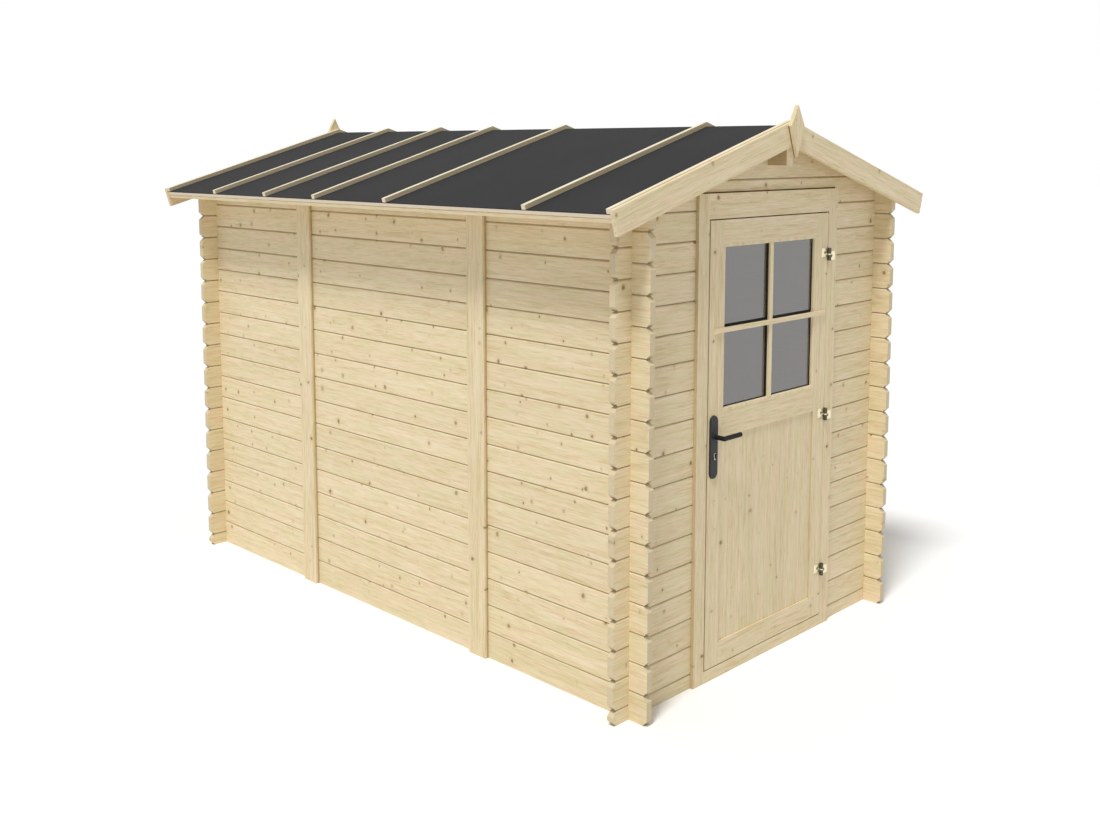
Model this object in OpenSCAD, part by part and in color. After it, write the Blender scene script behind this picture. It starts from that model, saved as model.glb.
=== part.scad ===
// Garden shed of interlocking logs with a felt roof and a half-glazed door.
// X runs across the front gable, Y runs from the front (-Y) to the rear, Z is up from the ground.

/* [Log walls] */
// Height that one log covers in a wall
log_pitch = 114; // [110:1:130]
// Thickness of a log
log_t = 28; // [24:1:40]
// Courses of logs in a side wall, which gains more where the door needs them
courses = 17; // [17:1:20]
// Width over the outer faces of the side walls
shed_w = 1710; // [1500:10:2600]
// Depth over the outer faces of the front and rear walls
shed_d = 2910; // [2200:10:4200]
// Length of log that runs past each corner
log_end = 88; // [70:1:120]
// Chamfer on the corners of a log's end
end_chamfer = 20; // [8:1:26]
// Bevel along the edges of a log
seam_bevel = 4.5; // [1:0.5:5]
// Width of the tongue on top of a log
tongue_w = 9; // [6:0.5:11]
// Height of the tongue on top of a log
tongue_h = 8; // [4:0.5:12]
// Distance from the middle of a side wall to the joints nearer the front between its log lengths
joint_y = 630; // [400:5:900]
// Distance from the middle of a side wall to the joints nearer the rear between its log lengths
rear_joint_y = 600; // [400:5:900]
// Width of the upright battens over those joints
batten_w = 102; // [60:1:140]
// Thickness of the upright battens
batten_t = 18; // [12:1:30]

/* [Roof] */
// Pitch of the roof in degrees
roof_pitch = 16.4; // [12:0.1:28]
// Distance that the roof boards run out past a side wall
eave_overhang = 205; // [150:1:320]
// Thickness of the roof boards
board_t = 16; // [14:1:28]
// Thickness of the roofing felt
felt_t = 3; // [2:0.5:5]
// Width of the ridge purlin
purlin_w = 45; // [35:1:80]
// Height of the ridge purlin at its peak
purlin_h = 140; // [100:1:160]
// Depth of the batten under the ends of the roof boards
eave_batten_h = 14; // [10:1:30]
// Width of the batten under the ends of the roof boards
eave_batten_w = 20; // [14:1:40]
// Width of the laths that hold the felt
lath_w = 20; // [14:1:35]
// Height of the laths that hold the felt
lath_h = 18; // [10:1:30]
// Width of a bargeboard
barge_w = 95; // [70:1:140]
// Thickness of a bargeboard
barge_t = 18; // [12:1:28]
// Height of a bargeboard's upper edge over the underside of the roof boards
barge_rise = 35; // [25:1:50]
// Length of a bargeboard past the ends of the roof boards
barge_end = 5; // [0:1:30]
// Height of a finial board
finial_h = 206; // [150:1:300]
// Width of a finial board
finial_w = 90; // [50:1:140]
// Height of a finial board's widest place over its lower tip
finial_belly = 124; // [70:1:140]
// Height of a finial board's upper tip over the peak of the bargeboards
finial_up = 62; // [30:1:100]
// Thickness of a finial board
finial_t = 18; // [12:1:28]

/* [Door frame] */
// Width of a jamb's face
jamb_face = 66; // [50:1:90]
// Distance that the frame stands proud of the logs, inside and outside
jamb_proud = 15; // [10:1:30]
// Lap of the jambs and head over the logs
jamb_lap = 38; // [20:1:45]
// Height of the head's face
head_face = 98; // [70:1:110]
// Least height of log over the upper corners of the frame
head_cover = 20; // [10:1:60]
// Height of the sill
sill_h = 49; // [30:1:60]
// Width of the stop that the door closes on
stop_w = 9; // [6:1:9]

/* [Door] */
// Width of the door leaf
door_w = 829; // [700:1:900]
// Height of the door leaf
door_h = 1789; // [1700:1:2000]
// Thickness of the door leaf
door_t = 36; // [32:1:42]
// Width of a stile
stile_w = 85; // [75:1:110]
// Height of the top rail
top_rail_h = 92; // [60:1:130]
// Height of the bottom rail
bottom_rail_h = 94; // [60:1:160]
// Height of the lock rail
lock_rail_h = 101; // [50:1:140]
// Height of the lock rail's lower edge over the foot of the door
lock_rail_z = 933; // [800:1:1100]
// Thickness of the lower panel
panel_t = 16; // [12:1:18]
// Depth of the lower panel behind the face of the stiles
panel_recess = 6; // [2:1:14]
// Thickness of the glass
glass_t = 4; // [3:0.5:6]
// Depth of the glass behind the face of the stiles
glass_recess = 14; // [10:1:18]
// Width of the beads round the glass
bead_w = 14; // [8:1:25]
// Depth of the grooves that hold the panel and the glass
rebate = 9; // [6:1:14]

/* [Hinges] */
// Distance from the door's foot to the middle of its lowest hinge
hinge_inset = 206; // [120:1:300]
// Distance from the door's top to the middle of its highest hinge
hinge_drop = 179; // [120:1:300]
// Height of a hinge over both of its knuckles
hinge_h = 54; // [40:1:110]
// Height that each hinge leaf runs past the joint between the knuckles
hinge_lap = 10; // [2:1:16]
// Reach of a hinge leaf from the pin
hinge_leaf_w = 53; // [30:1:55]
// Thickness of a hinge leaf
hinge_leaf_t = 2.5; // [2:0.5:4]
// Radius of the hinge knuckles
knuckle_r = 8; // [5:0.5:9]
// Radius of the hinge pins
hinge_pin_r = 3; // [2:0.5:4]

/* [Handle] */
// Distance from the door's edge to the spindle
backset = 33; // [30:1:50]
// Height of the spindle over the foot of the door
spindle_z = 944; // [850:1:1100]
// Height of a handle plate
plate_h = 252; // [200:1:280]
// Width of a handle plate
plate_w = 48; // [32:1:56]
// Thickness of a handle plate
plate_t = 8; // [5:1:12]
// Height of the spindle under the top of the plate
plate_drop = 84; // [50:1:110]
// Height of the keyhole under the spindle
keyhole_drop = 71; // [50:1:110]
// Radius of the lever's hub
hub_r = 9; // [8:0.5:12]
// Distance from the plate to the middle of the lever's grip
lever_out = 47; // [34:1:60]
// Length of the lever from the spindle
lever_l = 110; // [90:1:150]
// Radius of the lever's grip
grip_r = 8; // [6:0.5:10]
// Side of the square spindle
spindle_s = 8; // [7:0.5:9]

/* [Fits] */
// Gap between pieces that bear on each other
fit = 0.2; // [0.1:0.05:0.4]
// Gap in the seam between two logs
seam_gap = 0.4; // [0.2:0.1:0.8]
// Gap between the log ends and the core of the door frame
frame_gap = 0.8; // [0.4:0.1:0.9]
// Gap over, under and behind the door
door_gap = 5; // [5:0.5:8]
// Gap beside the door
side_gap = 6.5; // [6:0.5:10]
// Radial clearance of a pin in its bore
pin_clearance = 0.05; // [0.02:0.01:0.1]

/* [Hidden] */
$fn = 48;

pine = [0.92, 0.84, 0.66];
pine_dark = [0.84, 0.76, 0.60];
felt_grey = [0.13, 0.13, 0.14];
glass_grey = [0.54, 0.54, 0.53, 0.6];
zinc = [0.85, 0.78, 0.55];
black = [0.09, 0.09, 0.10];

// Room left around a cut so that it passes right through
over = 1;

// Half sizes and slope
half_w = shed_w / 2;
half_d = shed_d / 2;
rise = tan(roof_pitch);

// Door frame
open_x = door_w / 2 + side_gap;
frame_x = open_x + jamb_face;
frame_front = -half_d - jamb_proud;
frame_back = -half_d + log_t + jamb_proud;
door_z = sill_h + door_gap;
door_top = door_z + door_h;
head_z = door_top + door_gap;
frame_top = head_z + head_face;
core_x = frame_x - jamb_lap;
core_top = frame_top - jamb_lap;
split_logs = floor((core_top + frame_gap) / log_pitch - 0.5) + 1;

// Walls: the roof clears the upper corners of the door frame by a strip of log
needed_courses = ceil((frame_top + head_cover - (half_w - frame_x) * rise) / log_pitch);
wall_courses = max(courses, needed_courses);
wall_top = wall_courses * log_pitch;
wall_mid_x = half_w - log_t / 2;
wall_mid_y = half_d - log_t / 2;
log_tip_x = half_w + log_end;
log_tip_y = half_d + log_end;
groove_w = tongue_w + 2 * seam_gap;
groove_h = tongue_h + seam_gap;

// Roof: heights are measured square to the slope, from the underside of the roof boards
ridge_z = wall_top + half_w * rise;
eave_x = half_w + eave_overhang;
felt_h = board_t + fit;
lath_base = felt_h + felt_t + fit;
roof_half_l = log_tip_y + fit;
barge_peak_z = ridge_z + barge_rise / cos(roof_pitch);
purlin_z = ridge_z - purlin_h;
last_log = ceil(ridge_z / log_pitch - 0.5);
// Places of the laths along the shed, spaced by hand as on the roof, with one behind each bargeboard
lath_places = [-0.384, -0.0997, 0.0756, 0.213, 0.3677];
lath_edge_y = roof_half_l - lath_w / 2 - fit;
lath_ys = concat([-lath_edge_y], [for (share = lath_places) share * shed_d], [lath_edge_y]);

// Door leaf
door_back = frame_front + door_t;
stop_y = door_back + door_gap;
rail_x = door_w / 2 - stile_w;
panel_y = frame_front + panel_recess;
glass_y = frame_front + glass_recess;
panel_foot = door_z + bottom_rail_h;
panel_head = door_z + lock_rail_z;
window_foot = panel_head + lock_rail_h;
window_head = door_top - top_rail_h;

// Hinges
pin_x = door_w / 2 + side_gap / 2;
pin_y = frame_front - knuckle_r - fit;
low_hinge_z = door_z + hinge_inset;
high_hinge_z = door_top - hinge_drop;
hinge_zs = [low_hinge_z, (low_hinge_z + high_hinge_z) / 2, high_hinge_z];
knuckle_gap = 0.5;
knuckle_l = (hinge_h - knuckle_gap) / 2;

// Handle
handle_x = -door_w / 2 + backset;
handle_z = door_z + spindle_z;
keyhole_r = 8.5;
keyhole_slot_w = 10;
keyhole_slot_h = 22;
keyhole_depth = 3;

// Underside of the roof boards at a distance x from the middle
function roof_under(x) = wall_top + (half_w - x) * rise;

// Point on the right slope at a height h over the underside of the boards
function on_slope(x, h) = [x + h * sin(roof_pitch), roof_under(x) + h * cos(roof_pitch)];

// Strip along the right slope between two heights, from the ridge to a square cut at x
function slope_strip(x, low, high) = [
  [0, ridge_z + low / cos(roof_pitch)], on_slope(x, low),
  on_slope(x, high), [0, ridge_z + high / cos(roof_pitch)]];

// Lower edge of a log's section: grooved and bevelled, or flat on the ground
function section_foot(z, grooved) = grooved
  ? [[-log_t / 2, z + seam_bevel], [-log_t / 2 + seam_bevel, z], [-groove_w / 2, z],
     [-groove_w / 2, z + groove_h], [groove_w / 2, z + groove_h], [groove_w / 2, z],
     [log_t / 2 - seam_bevel, z], [log_t / 2, z + seam_bevel]]
  : [[-log_t / 2, z], [log_t / 2, z]];

// Upper edge of a log's section: bevelled, with the tongue
function section_head(z) = [
  [log_t / 2, z - seam_bevel], [log_t / 2 - seam_bevel, z], [tongue_w / 2, z],
  [tongue_w / 2, z + tongue_h], [-tongue_w / 2, z + tongue_h], [-tongue_w / 2, z],
  [-log_t / 2 + seam_bevel, z], [-log_t / 2, z - seam_bevel]];

// Section of log k in a side wall: the top log is planed to the slope of the roof
function side_section(k) = concat(
  section_foot(k * log_pitch + (k > 0 ? seam_gap / 2 : 0), k > 0),
  k < wall_courses - 1
    ? section_head((k + 1) * log_pitch - seam_gap / 2)
    : [[log_t / 2, wall_top - fit], [-log_t / 2, wall_top + log_t * rise - fit]]);

// Section of log k in a gable wall, which starts with half a log
function gable_section(k) = concat(
  section_foot(k > 0 ? (k - 0.5) * log_pitch + seam_gap / 2 : 0, k > 0),
  section_head((k + 0.5) * log_pitch - seam_gap / 2));

// Shapes shared by the walls

// Triangular cut that chamfers the upper or lower corner of a log's end
module end_cut(x, z, out, up) {
  reach = tongue_h + over;
  rotate([90, 0, 0])
    linear_extrude(2 * log_t, center = true)
      polygon([
        [x - out * (end_chamfer + reach), z + up * reach],
        [x + out * reach, z + up * reach],
        [x + out * reach, z - up * (end_chamfer + reach)]]);
}

// Log along X: its section swept from x0 to x1, quartered at the crossings and chamfered at its free ends
module log_piece(x0, x1, section, z_low, z_mid, z_high, crossings, tips) {
  notch_w = log_t + 2 * fit;
  keep = log_pitch / 4 - fit / 2;
  difference() {
    translate([x0, 0, 0])
      rotate([90, 0, 90])
        linear_extrude(x1 - x0)
          polygon(section);
    for (x = crossings) {
      translate([x - notch_w / 2, -log_t, z_mid + keep])
        cube([notch_w, 2 * log_t, log_pitch]);
      translate([x - notch_w / 2, -log_t, z_mid - keep - log_pitch])
        cube([notch_w, 2 * log_t, log_pitch]);
    }
    for (x = tips) {
      end_cut(x, z_high, sign(x), 1);
      end_cut(x, z_low, sign(x), -1);
    }
  }
}

// Logs of the left wall between two places along it
module side_logs(y0, y1) {
  crossings = [for (y = [-wall_mid_y, wall_mid_y]) if (y > y0 && y < y1) y];
  tips = [for (y = [-log_tip_y, log_tip_y]) if (y >= y0 && y <= y1) y];
  translate([-wall_mid_x, 0, 0])
    rotate([0, 0, 90])
      for (k = [0 : wall_courses - 1])
        log_piece(y0, y1, side_section(k), k * log_pitch, (k + 0.5) * log_pitch, (k + 1) * log_pitch,
                  crossings, tips);
}

// Logs k0 to k1 of a gable wall between two places across it, in the middle plane of the wall
module gable_logs(x0, x1, k0, k1) {
  crossings = [for (x = [-wall_mid_x, wall_mid_x]) if (x > x0 && x < x1) x];
  tips = [for (x = [-log_tip_x, log_tip_x]) if (x >= x0 && x <= x1) x];
  for (k = [k0 : k1])
    log_piece(x0, x1, gable_section(k), max(0, (k - 0.5) * log_pitch), k * log_pitch,
              (k + 0.5) * log_pitch, crossings, tips);
}

// Space under the roof boards, with the ridge purlin's place left out
module gable_space() {
  reach = log_tip_x + over;
  rotate([90, 0, 0])
    linear_extrude(2 * log_t, center = true)
      difference() {
        polygon([
          [-reach, 0], [reach, 0], [reach, roof_under(reach) - fit],
          [0, ridge_z - fit], [-reach, roof_under(reach) - fit]]);
        translate([-purlin_w / 2 - fit, purlin_z - fit])
          square([purlin_w + 2 * fit, purlin_h]);
      }
}

// Whole logs over the eaves, cut to the slope
module gable_top(k0) {
  intersection() {
    gable_logs(-log_tip_x, log_tip_x, k0, last_log);
    gable_space();
  }
}

// Opening in the front logs for the core of the door frame
module door_opening() {
  cut_x = core_x + frame_gap;
  translate([-cut_x, -log_t, -over])
    cube([2 * cut_x, 2 * log_t, core_top + frame_gap + over]);
}

module front_place() {
  translate([0, -wall_mid_y, 0]) children();
}

module rear_place() {
  translate([0, wall_mid_y, 0]) mirror([0, 1, 0]) children();
}

// Wall nodes

module left_wall_front_logs() {
  color(pine) side_logs(-log_tip_y, -joint_y - fit);
}

module left_wall_middle_logs() {
  color(pine) side_logs(-joint_y, rear_joint_y);
}

module left_wall_rear_logs() {
  color(pine) side_logs(rear_joint_y + fit, log_tip_y);
}

module right_wall_front_logs() {
  mirror([1, 0, 0]) left_wall_front_logs();
}

module right_wall_middle_logs() {
  mirror([1, 0, 0]) left_wall_middle_logs();
}

module right_wall_rear_logs() {
  mirror([1, 0, 0]) left_wall_rear_logs();
}

module front_wall_left_logs() {
  color(pine_dark)
    front_place()
      gable_logs(-log_tip_x, -core_x - frame_gap, 0, split_logs - 1);
}

module front_wall_right_logs() {
  color(pine_dark)
    front_place()
      gable_logs(core_x + frame_gap, log_tip_x, 0, split_logs - 1);
}

module front_gable_logs() {
  color(pine_dark)
    front_place()
      difference() {
        gable_top(split_logs);
        door_opening();
      }
}

module rear_wall_logs() {
  color(pine_dark)
    rear_place()
      gable_logs(-log_tip_x, log_tip_x, 0, wall_courses - 1);
}

module rear_gable_logs() {
  color(pine_dark)
    rear_place()
      gable_top(wall_courses);
}

// Upright battens at both joints of the left wall, from x towards the outside or the inside
module battens(x, top) {
  for (y = [-joint_y, rear_joint_y])
    translate([x, y - batten_w / 2, 0])
      cube([batten_t, batten_w, top]);
}

module left_outer_battens() {
  color(pine)
    battens(-half_w - batten_t - fit, roof_under(half_w + batten_t + fit) - fit);
}

module left_inner_battens() {
  color(pine)
    battens(-half_w + log_t + fit, wall_top);
}

module right_outer_battens() {
  mirror([1, 0, 0]) left_outer_battens();
}

module right_inner_battens() {
  mirror([1, 0, 0]) left_inner_battens();
}

// Roof nodes

// Profile in the X-Z plane carried along Y between two places
module along_y(y0, y1) {
  translate([0, y1, 0])
    rotate([90, 0, 0])
      linear_extrude(y1 - y0)
        children();
}

module ridge_purlin() {
  side_z = roof_under(purlin_w / 2) - fit;
  color(pine)
    along_y(-log_tip_y, log_tip_y)
      polygon([
        [-purlin_w / 2, purlin_z], [purlin_w / 2, purlin_z], [purlin_w / 2, side_z],
        [0, ridge_z - fit], [-purlin_w / 2, side_z]]);
}

module roof_boards_right() {
  color(pine)
    along_y(-log_tip_y, log_tip_y)
      polygon(slope_strip(eave_x, 0, board_t));
}

module roof_boards_left() {
  mirror([1, 0, 0]) roof_boards_right();
}

module roof_felt() {
  right = slope_strip(eave_x, felt_h, felt_h + felt_t);
  color(felt_grey)
    along_y(-log_tip_y, log_tip_y)
      polygon([
        right[0], right[1], right[2], right[3],
        [-right[2].x, right[2].y], [-right[1].x, right[1].y]]);
}

module eave_batten_right() {
  color(pine)
    along_y(-log_tip_y, log_tip_y)
      polygon([
        on_slope(eave_x - eave_batten_w, -eave_batten_h - fit), on_slope(eave_x, -eave_batten_h - fit),
        on_slope(eave_x, -fit), on_slope(eave_x - eave_batten_w, -fit)]);
}

module eave_batten_left() {
  mirror([1, 0, 0]) eave_batten_right();
}

module roof_laths_right() {
  color(pine)
    for (y = lath_ys)
      along_y(y - lath_w / 2, y + lath_w / 2)
        polygon(slope_strip(eave_x, lath_base, lath_base + lath_h));
}

module roof_laths_left() {
  mirror([1, 0, 0]) roof_laths_right();
}

module front_bargeboard_right() {
  color(pine_dark)
    along_y(-roof_half_l - barge_t, -roof_half_l)
      polygon(slope_strip(eave_x + barge_end, barge_rise - barge_w, barge_rise));
}

module front_bargeboard_left() {
  mirror([1, 0, 0]) front_bargeboard_right();
}

module rear_bargeboard_right() {
  mirror([0, 1, 0]) front_bargeboard_right();
}

module rear_bargeboard_left() {
  mirror([1, 0, 0]) rear_bargeboard_right();
}

module front_finial() {
  tip = barge_peak_z + finial_up;
  foot = tip - finial_h;
  back = -roof_half_l - barge_t - fit;
  color(pine_dark)
    along_y(back - finial_t, back)
      polygon([[0, foot], [finial_w / 2, foot + finial_belly], [0, tip], [-finial_w / 2, foot + finial_belly]]);
}

module rear_finial() {
  mirror([0, 1, 0]) front_finial();
}

// Door frame nodes

// Space that the logs take inside the frame: the wall's thickness outside the frame's core
module frame_slot() {
  reach = frame_x + over;
  difference() {
    translate([-reach, -half_d - fit, -over])
      cube([2 * reach, log_t + 2 * fit, frame_top + 2 * over]);
    translate([-core_x, -half_d - log_t, -2 * over])
      cube([2 * core_x, 3 * log_t, core_top + 2 * over]);
  }
}

module door_jamb_left() {
  color(pine_dark)
    difference() {
      union() {
        translate([-frame_x, frame_front, 0])
          cube([jamb_face, frame_back - frame_front, frame_top]);
        translate([-open_x, stop_y, 0])
          cube([stop_w, frame_back - stop_y, frame_top]);
      }
      frame_slot();
    }
}

module door_jamb_right() {
  mirror([1, 0, 0]) door_jamb_left();
}

module door_head() {
  half = open_x - stop_w - fit;
  color(pine_dark) {
    difference() {
      translate([-open_x + fit, frame_front, head_z])
        cube([2 * (open_x - fit), stop_y - fit - frame_front, head_face]);
      frame_slot();
    }
    difference() {
      translate([-half, stop_y - fit, head_z - stop_w])
        cube([2 * half, frame_back - stop_y + fit, head_face + stop_w]);
      frame_slot();
    }
  }
}

module door_sill() {
  half = open_x - stop_w - fit;
  color(pine_dark) {
    translate([-open_x + fit, frame_front, 0])
      cube([2 * (open_x - fit), stop_y - fit - frame_front, sill_h]);
    translate([-half, stop_y - fit, 0])
      cube([2 * half, frame_back - stop_y + fit, sill_h + stop_w]);
  }
}

// Door leaf nodes

// Grooves that hold the lower panel and the glass, cut round their openings
module leaf_grooves() {
  groove_x = rail_x + rebate;
  translate([-groove_x, panel_y - fit, panel_foot - rebate])
    cube([2 * groove_x, panel_t + 2 * fit, panel_head - panel_foot + 2 * rebate]);
  translate([-groove_x, glass_y - fit, window_foot - rebate])
    cube([2 * groove_x, glass_t + 2 * fit, window_head - window_foot + 2 * rebate]);
}

module spindle_hole() {
  translate([handle_x, door_back + over, handle_z])
    rotate([90, 0, 0])
      cylinder(h = door_t + 2 * over, r = spindle_s);
}

module door_stiles() {
  color(pine_dark)
    difference() {
      for (x = [-door_w / 2, door_w / 2 - stile_w])
        translate([x, frame_front, door_z])
          cube([stile_w, door_t, door_h]);
      leaf_grooves();
      spindle_hole();
    }
}

module door_rails() {
  half = rail_x - fit;
  color(pine_dark)
    difference() {
      for (rail = [[door_z, panel_foot], [panel_head, window_foot], [window_head, door_top]])
        translate([-half, frame_front, rail[0]])
          cube([2 * half, door_t, rail[1] - rail[0]]);
      leaf_grooves();
    }
}

// Sheet held in the grooves round an opening of the leaf
module held_sheet(y, t, foot, head) {
  reach = rail_x + rebate - fit;
  translate([-reach, y, foot - rebate + fit])
    cube([2 * reach, t, head - foot + 2 * (rebate - fit)]);
}

module door_panel() {
  color(pine_dark) held_sheet(panel_y, panel_t, panel_foot, panel_head);
}

module door_glass() {
  color(glass_grey) held_sheet(glass_y, glass_t, window_foot, window_head);
}

module glazing_beads() {
  half = rail_x - fit;
  foot = window_foot + fit;
  head = window_head - fit;
  color(pine)
    translate([0, glass_y - fit, 0])
      rotate([90, 0, 0])
        linear_extrude(glass_recess - fit)
          difference() {
            translate([-half, foot]) square([2 * half, head - foot]);
            translate([-half + bead_w, foot + bead_w])
              square([2 * (half - bead_w), head - foot - 2 * bead_w]);
          }
}

// Hinge nodes

// Lift-off hinge leaf to the left of the pin: a plate that runs past the joint, and a knuckle over the joint
module hinge_leaf() {
  clear = knuckle_r + knuckle_gap;
  translate([-hinge_leaf_w, knuckle_r - hinge_leaf_t, -hinge_lap])
    cube([hinge_leaf_w - clear, hinge_leaf_t, hinge_h / 2 + hinge_lap]);
  translate([0, 0, knuckle_gap / 2]) {
    translate([-clear - over, knuckle_r - hinge_leaf_t, 0])
      cube([clear + over, hinge_leaf_t, knuckle_l]);
    cylinder(h = knuckle_l, r = knuckle_r);
  }
}

module door_hinge_leaves() {
  color(zinc)
    for (z = hinge_zs)
      translate([pin_x, pin_y, z])
        difference() {
          hinge_leaf();
          translate([0, 0, -over])
            cylinder(h = hinge_h, r = hinge_pin_r + pin_clearance);
        }
}

module frame_hinge_leaves() {
  color(zinc)
    for (z = hinge_zs)
      translate([pin_x, pin_y, z]) {
        rotate([0, 180, 0]) hinge_leaf();
        translate([0, 0, -hinge_h / 2]) cylinder(h = hinge_h, r = hinge_pin_r);
      }
}

// Handle nodes

// Long plate with round ends in front of the plane y = 0, bored for the hub, with a keyhole
module handle_plate() {
  straight = plate_h - plate_w;
  difference() {
    translate([0, 0, plate_drop - plate_w / 2])
      rotate([90, 0, 0]) {
        translate([-plate_w / 2, -straight, 0]) cube([plate_w, straight, plate_t]);
        for (z = [-straight, 0])
          translate([0, z, 0]) cylinder(h = plate_t, d = plate_w);
      }
    translate([0, over, 0])
      rotate([90, 0, 0])
        cylinder(h = plate_t + 2 * over, r = hub_r + pin_clearance);
    translate([0, -plate_t + keyhole_depth, -keyhole_drop])
      rotate([90, 0, 0]) {
        cylinder(h = keyhole_depth + over, r = keyhole_r);
        translate([-keyhole_slot_w / 2, -keyhole_slot_h, 0])
          cube([keyhole_slot_w, keyhole_slot_h, keyhole_depth + over]);
      }
  }
}

// Hub and grip of one lever in front of the plane y = 0
module lever_arm() {
  rotate([90, 0, 0]) cylinder(h = plate_t + lever_out, r = hub_r);
  translate([0, -plate_t - lever_out, 0]) {
    sphere(r = hub_r);
    rotate([0, 90, 0]) cylinder(h = lever_l - grip_r, r = grip_r);
    translate([lever_l - grip_r, 0, 0]) sphere(r = grip_r);
  }
}

module outer_side() {
  translate([handle_x, frame_front - fit, handle_z]) children();
}

module inner_side() {
  translate([handle_x, door_back + fit, handle_z]) mirror([0, 1, 0]) children();
}

module outer_handle_plate() {
  color(black) outer_side() handle_plate();
}

module inner_handle_plate() {
  color(black) inner_side() handle_plate();
}

module door_lever() {
  color(black) {
    outer_side() lever_arm();
    inner_side() lever_arm();
    translate([handle_x - spindle_s / 2, frame_front - plate_t, handle_z - spindle_s / 2])
      cube([spindle_s, door_t + 2 * plate_t, spindle_s]);
  }
}

left_wall_front_logs();
left_wall_middle_logs();
left_wall_rear_logs();
right_wall_front_logs();
right_wall_middle_logs();
right_wall_rear_logs();
front_wall_left_logs();
front_wall_right_logs();
front_gable_logs();
rear_wall_logs();
rear_gable_logs();
left_outer_battens();
left_inner_battens();
right_outer_battens();
right_inner_battens();
ridge_purlin();
roof_boards_left();
roof_boards_right();
roof_felt();
eave_batten_left();
eave_batten_right();
roof_laths_left();
roof_laths_right();
front_bargeboard_left();
front_bargeboard_right();
rear_bargeboard_left();
rear_bargeboard_right();
front_finial();
rear_finial();
door_jamb_left();
door_jamb_right();
door_head();
door_sill();
frame_hinge_leaves();
door_stiles();
door_rails();
door_panel();
door_glass();
glazing_beads();
door_hinge_leaves();
outer_handle_plate();
inner_handle_plate();
door_lever();
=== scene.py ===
"""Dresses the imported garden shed: pine, felt, glass and fittings round the CAD frame, on a pale stage."""
import math

import bpy
import numpy as np
from bpy.props import FloatProperty, FloatVectorProperty, IntProperty, PointerProperty
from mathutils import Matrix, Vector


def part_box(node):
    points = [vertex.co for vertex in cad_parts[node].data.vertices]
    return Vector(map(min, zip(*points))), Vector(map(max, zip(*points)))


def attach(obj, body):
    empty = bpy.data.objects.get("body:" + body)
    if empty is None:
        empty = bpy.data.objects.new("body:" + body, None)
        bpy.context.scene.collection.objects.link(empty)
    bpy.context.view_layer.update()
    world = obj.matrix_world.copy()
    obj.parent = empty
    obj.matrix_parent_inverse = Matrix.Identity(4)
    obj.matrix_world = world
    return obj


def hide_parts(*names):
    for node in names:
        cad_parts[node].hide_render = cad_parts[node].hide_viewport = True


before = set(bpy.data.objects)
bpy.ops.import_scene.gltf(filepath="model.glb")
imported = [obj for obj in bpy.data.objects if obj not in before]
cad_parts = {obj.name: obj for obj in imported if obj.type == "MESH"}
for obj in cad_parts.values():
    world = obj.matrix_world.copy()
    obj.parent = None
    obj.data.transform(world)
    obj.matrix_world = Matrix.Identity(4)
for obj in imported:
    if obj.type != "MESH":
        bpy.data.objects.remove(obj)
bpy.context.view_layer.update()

bl_info = {
    "name": "Log garden shed",
    "version": (1, 0, 0),
    "blender": (4, 5, 0),
    "location": "View3D > Sidebar > Shed",
    "description": "Dresses a garden shed of interlocking logs with pine, felt, glass and fittings",
    "category": "Object",
}

MM = 0.001
TURN = 2 * math.pi

# Sizes of the CAD that its boxes don't give
ROOF_PITCH = math.radians(16.4)
COURSES = 17
BATTEN_W = 102 * MM
SIDE_GAP = 6.5 * MM
HINGE_PIN = (0.41775, -1.4782)
HINGE_H = 54 * MM
HINGE_LAP = 10 * MM
HUB_R = 9 * MM

# Place of the camera, with its angles in degrees and its shift in widths of the picture
EYE = (-4.0661, -4.2324, 2.1146)
EYE_DOWN = 6.293
EYE_TURN = -45.195
EYE_SHIFT = -0.12

SIDES = {"left": -1, "right": 1}
ENDS = {"front": -1, "rear": 1}
SIDE_LOGS = [f"{side}_wall_{part}_logs" for side in SIDES for part in ("front", "middle", "rear")]
SPLIT_LOGS = ["front_wall_left_logs", "front_wall_right_logs"]
WHOLE_LOGS = ["front_gable_logs", "rear_wall_logs", "rear_gable_logs"]
BATTENS = [f"{side}_{face}_battens" for side in SIDES for face in ("outer", "inner")]
HANDLE_PLATES = {"outer_handle_plate": -1, "inner_handle_plate": 1}


# Settings

def linear(red, green, blue):
    """Display colour from 0 to 255 as the linear values that shaders take."""
    shown = np.array([red, green, blue]) / 255
    return tuple(np.where(shown <= 0.04045, shown / 12.92, ((shown + 0.055) / 1.055) ** 2.4))


class ShedWood(bpy.types.PropertyGroup):
    """Sizes and colours of the pine."""
    course: FloatProperty(name="Course", unit="LENGTH", default=0.114,
                          description="Height that one log covers")
    pale: FloatVectorProperty(name="Pale wood", subtype="COLOR", default=linear(245, 231, 201),
                              description="Colour of the early wood")
    warm: FloatVectorProperty(name="Warm wood", subtype="COLOR", default=linear(236, 217, 181),
                              description="Colour between the grain lines")
    deep: FloatVectorProperty(name="Grain", subtype="COLOR", default=linear(212, 187, 141),
                              description="Colour of the late wood")
    knot: FloatVectorProperty(name="Knot", subtype="COLOR", default=linear(136, 108, 64),
                              description="Colour of the knots")
    # Painted shade: the colour put on log bevels and notch insides that look into a seam, and on batten and
    # finial edges beside a joint, where shade falls
    seam: FloatVectorProperty(name="Seam", subtype="COLOR", default=linear(116, 88, 46),
                              description="Colour of what looks into a seam or joint")
    # Painted shade: a darker copy of the grain colour, put on the narrow edges of jambs, stiles, purlin and
    # laths that lie beside a joint or under the roof
    edge: FloatVectorProperty(name="Edge", subtype="COLOR", default=linear(183, 161, 121),
                              description="Colour of the narrow edges beside a joint")
    end: FloatVectorProperty(name="End grain", subtype="COLOR", default=linear(206, 190, 158),
                             description="Colour of the sawn log ends")
    knot_share: FloatProperty(name="Knot share", subtype="FACTOR", default=0.75,
                              description="Share of the places for a knot that hold one")


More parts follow.
